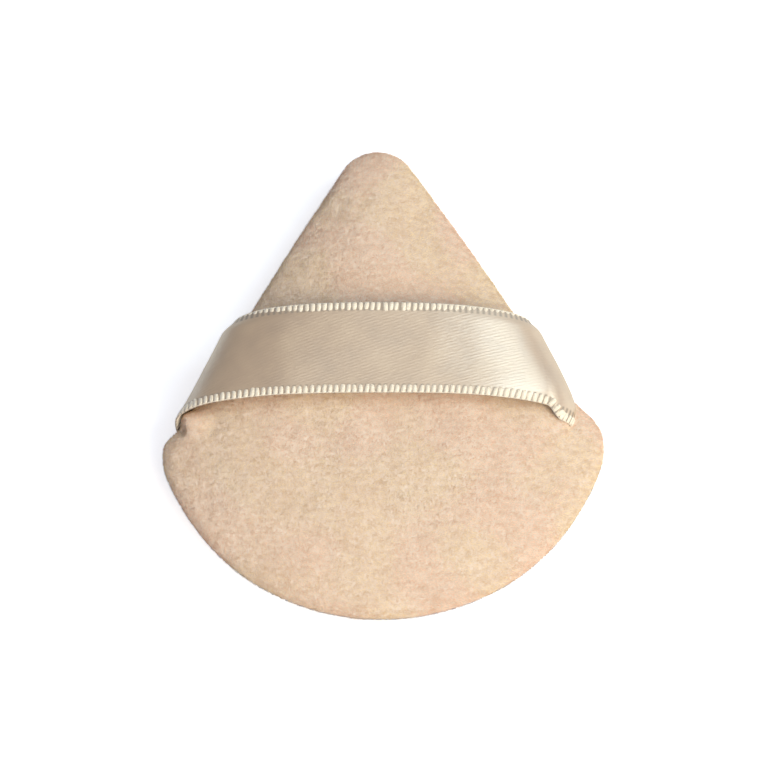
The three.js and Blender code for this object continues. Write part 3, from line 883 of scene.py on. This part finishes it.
def makePile():
    count = pile["count"] // 1
    spots, normal = surfaceSpots(count, [(frontOuter, frontFaces), (backOuter, backFaces)])
    # the nap lies across the puff, and wanders where the pile has been brushed
    wander = uneven(spots, pile["wander"], 7) + uneven(spots, pile["smallWander"], 8)
    nap = np.column_stack([np.cos(wander), np.sin(wander), np.zeros(count)])
    nap -= normal * (nap * normal).sum(1, keepdims=True)
    upright = normal + nap * drawBetween(pile["leanRange"], count)[:, None]
    direction = unit(upright + draw.normal(0, pile["stray"], (count, 3)))
    facing = (direction * normal).sum(1)
    low = facing < pile["lowest"]
    direction[low] += normal[low] * (pile["lifted"] - facing[low])[:, None]
    direction = unit(direction)
    length = pile["length"] * drawBetween(pile["lengthRange"], count)

    # the pile stops short of the ribbon where that is sewn in
    ground = meshPoints(satinRibbon.data)
    polygons = [tuple(p.vertices) for p in satinRibbon.data.polygons]
    cover = BVHTree.FromPolygons(ground.tolist(), polygons)
    fromX, withinY, aboveZ = pile["ribbonZone"]
    near = (np.abs(spots[:, 0]) > fromX) & (np.abs(spots[:, 1] - ribbonY) < withinY) & (spots[:, 2] > aboveZ)
    for i in np.nonzero(near)[0]:
        start = Vector(spots[i] - direction[i] * pile["clearance"])
        hit = cover.ray_cast(start, Vector(direction[i]), length[i] + pile["ribbonReach"])
        if hit[0] is not None:
            length[i] = max(pile["shortest"], (hit[3] - pile["clearance"]) * pile["shortened"])

    across = unit(np.cross(direction, draw.normal(0, 1, (count, 3))))
    beside = np.cross(direction, across)
    root = spots - normal * pile["rootDepth"]
    fibrePoints, fibreFaces = makeFibre()
    wide = pile["halfWidth"] * drawBetween(pile["widthRange"], count)[:, None]
    points = np.stack([
        root + across * wide * x + beside * wide * y + direction * length[:, None] * z
        for x, y, z in fibrePoints
    ], 1)
    points[..., 2] = np.maximum(points[..., 2], pile["floorGap"])

    # broad rosy and straw patches, with pale to deep clumps drawn out across the puff in each
    rosy = noiseAt(spots, pile["patch"], 10) + draw.normal(0, pile["patchBlur"], count)
    deep = noiseAt(spots * pile["clumpDrawnOut"], pile["clump"], 9) + draw.normal(0, pile["clumpBlur"], count)
    batch = np.zeros(count, int)
    half = sharedOut(rosy, 2)
    for k in (0, 1):
        own = np.nonzero(half == k)[0]
        batch[own] = 3 * k + sharedOut(deep[own], 3)
    for k, (name, hexText) in enumerate(pileTints.items()):
        own = points[batch == k]
        start = np.arange(len(own))[:, None] * len(fibrePoints)
        faces = [row for face in fibreFaces for row in (start + face).tolist()]
        tuft = newPiece(name, own.reshape(-1, 3), faces, pileMaterial(name + "Cotton", hexText))
        # the pile is shaded mostly as the nap that it makes up, so that it looks soft
        nap = napNormals(normal[batch == k])
        soft = meshNormals(tuft.data)
        soft += (np.repeat(nap, len(fibrePoints), axis=0) - soft) * pile["soften"]
        tuft.data.normals_split_custom_set_from_vertices(unit(soft).tolist())
        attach(tuft, "puff")


makePile()
print("pile made")


# Inside the cover: the sponge, with so many pores to the metre, and the sewing threads.
sponge = {"pores": 2000, "dark": "#d9cfb8", "light": "#f6f1e4", "sunk": 0.08, "pitting": (0.08, 1.2)}
sewing = {"twist": 900, "dark": "#d8c7a8", "light": "#efe4cc"}


def openCellSponge():
    # Open-cell polyurethane sponge: pale, matt, with pores 0.5 mm across.
    material, shader = oneTextureLook(
        "openCellSponge", "TexVoronoi", {"Scale": sponge["pores"]}, "Distance",
        [(0.1, sponge["dark"]), (0.5, sponge["light"])], (0.6, 0.3 * mm),
    )
    shader.inputs["Roughness"].default_value = 0.95
    return material


def makeSponge():
    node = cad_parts["sponge_core"]
    mesh = node.data.copy()
    mesh.transform(node.matrix_world)
    mesh.materials.clear()
    filling = bpy.data.objects.new("spongeFilling", mesh)
    bpy.context.scene.collection.objects.link(filling)
    mergeDoubles(filling, 0.01 * mm)
    bpy.ops.object.mode_set(mode="EDIT")
    bpy.ops.mesh.subdivide(number_cuts=1, smoothness=0)
    bpy.ops.object.mode_set(mode="OBJECT")
    points = meshPoints(mesh)
    sunk = sponge["sunk"] + np.abs(uneven(points, sponge["pitting"], 12))
    points = points - meshNormals(mesh) * sunk[:, None]
    mesh.vertices.foreach_set("co", (points * mm).ravel())
    mesh.update()
    mesh.materials.append(openCellSponge())
    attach(filling, "puff")
    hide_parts("sponge_core")


def spunThread():
    # Spun polyester sewing thread, 0.35 mm thick; its twist shows as slanting bands as far apart.
    material, shader = oneTextureLook(
        "spunPolyesterThread", "TexWave", {"Scale": sewing["twist"], "Distortion": 2}, "Fac",
        [(0.2, sewing["dark"]), (0.8, sewing["light"])], (0.4, 0.08 * mm), turn=(0.6, 0.4, 0.7),
    )
    shader.inputs["Roughness"].default_value = 0.65
    return material


makeSponge()
threadLook = spunThread()
for nodeName in ("seam_needle_thread", "seam_bobbin_thread", "closing_thread"):
    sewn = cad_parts[nodeName]
    for place in sewn.material_slots:
        place.material = threadLook
print("sponge and threads made")


# Pale floor, soft studio light from the upper right and a white surround.
studio = {
    "floorSize": 2, "paper": "#fbfbfb", "floorGlow": 0.52, "floorInGloss": 0.2,
    "worldTint": "#e2e8ff", "leftWorld": 0.21, "rightWorld": 0.71, "worldTurn": 45, "aim": (0, 0, 0.01),
    "lamps": (  # name, tint, power, length, width, place
        ("keyLight", "#fff0d2", 9.5, 0.8, 0.5, (0.62, -0.56, 0.94)),
        ("stripLight", "#e2f7ff", 3.8, 0.4, 0.7, (0.62, 0.12, 0.88)),
        ("topLight", "#fff8e8", 1.5, 0.5, 0.5, (0.02, -0.18, 1.15)),
    ),
}


def addStudio():
    # Matt white paper sweep: it takes the shadow, shows white to the camera and fainter in gloss.
    paper, tree, shader = newMaterial("mattWhitePaper")
    setSockets(shader, {
        "Base Color": linearColour(studio["paper"]), "Roughness": 0.9, "Specular IOR Level": 0,
    })
    ray = addNode(tree, "LightPath")
    seen = addNode(tree, "Math", {"operation": "MULTIPLY_ADD", 1: studio["floorInGloss"]},
                   {0: (ray, "Is Glossy Ray"), 2: (ray, "Is Camera Ray")})
    glow = addNode(tree, "Math", {"operation": "MULTIPLY", 1: studio["floorGlow"]}, {0: (seen, "Value")})
    light = addNode(tree, "Emission", {}, {"Strength": (glow, "Value")})
    both = addNode(tree, "AddShader", {}, {0: (shader, "BSDF"), 1: (light, "Emission")})
    feed(tree.nodes["Material Output"], {"Surface": (both, "Shader")})
    half = studio["floorSize"] / 2
    corners = [(-half, -half, 0), (half, -half, 0), (half, half, 0), (-half, half, 0)]
    floor = newPiece("paperFloor", np.array(corners) / mm, [(0, 1, 2, 3)], paper, smooth=False)

    world = bpy.data.worlds.new("studioWorld")
    bpy.context.scene.world = world
    world.use_nodes = True
    tree = world.node_tree
    soft = tree.nodes["Background"]
    soft.inputs["Color"].default_value = linearColour(studio["worldTint"])
    # a little more light from the right and the base than from the left and the tip
    place = addNode(tree, "TexCoord")
    turned = addNode(tree, "Mapping", {"Rotation": (0, 0, math.radians(studio["worldTurn"]))},
                     {"Vector": (place, "Generated")})
    axes = addNode(tree, "SeparateXYZ", {}, {"Vector": (turned, "Vector")})
    level = addNode(tree, "MapRange", {
        "From Min": -1, "From Max": 1, "To Min": studio["leftWorld"], "To Max": studio["rightWorld"],
    }, {"Value": (axes, "X")})
    feed(soft, {"Strength": (level, "Result")})
    white = addNode(tree, "Background", {"Color": (1, 1, 1, 1), "Strength": 1})
    ray = addNode(tree, "LightPath")
    choose = addNode(tree, "MixShader", {}, {
        "Fac": (ray, "Is Camera Ray"), 1: (soft, "Background"), 2: (white, "Background"),
    })
    feed(tree.nodes["World Output"], {"Surface": (choose, "Shader")})

    for name, tint, power, length, width, place in studio["lamps"]:
        lamp = bpy.data.lights.new(name, "AREA")
        lamp.energy = power
        lamp.shape = "RECTANGLE"
        lamp.size = length
        lamp.size_y = width
        lamp.color = linearColour(tint)[:3]
        holder = bpy.data.objects.new(name, lamp)
        bpy.context.scene.collection.objects.link(holder)
        holder.location = place
        holder.rotation_mode = "QUATERNION"
        aim = Vector(studio["aim"]) - holder.location
        holder.rotation_quaternion = aim.to_track_quat("-Z", "Y")


addStudio()
bpy.context.scene.view_settings.view_transform = "Standard"
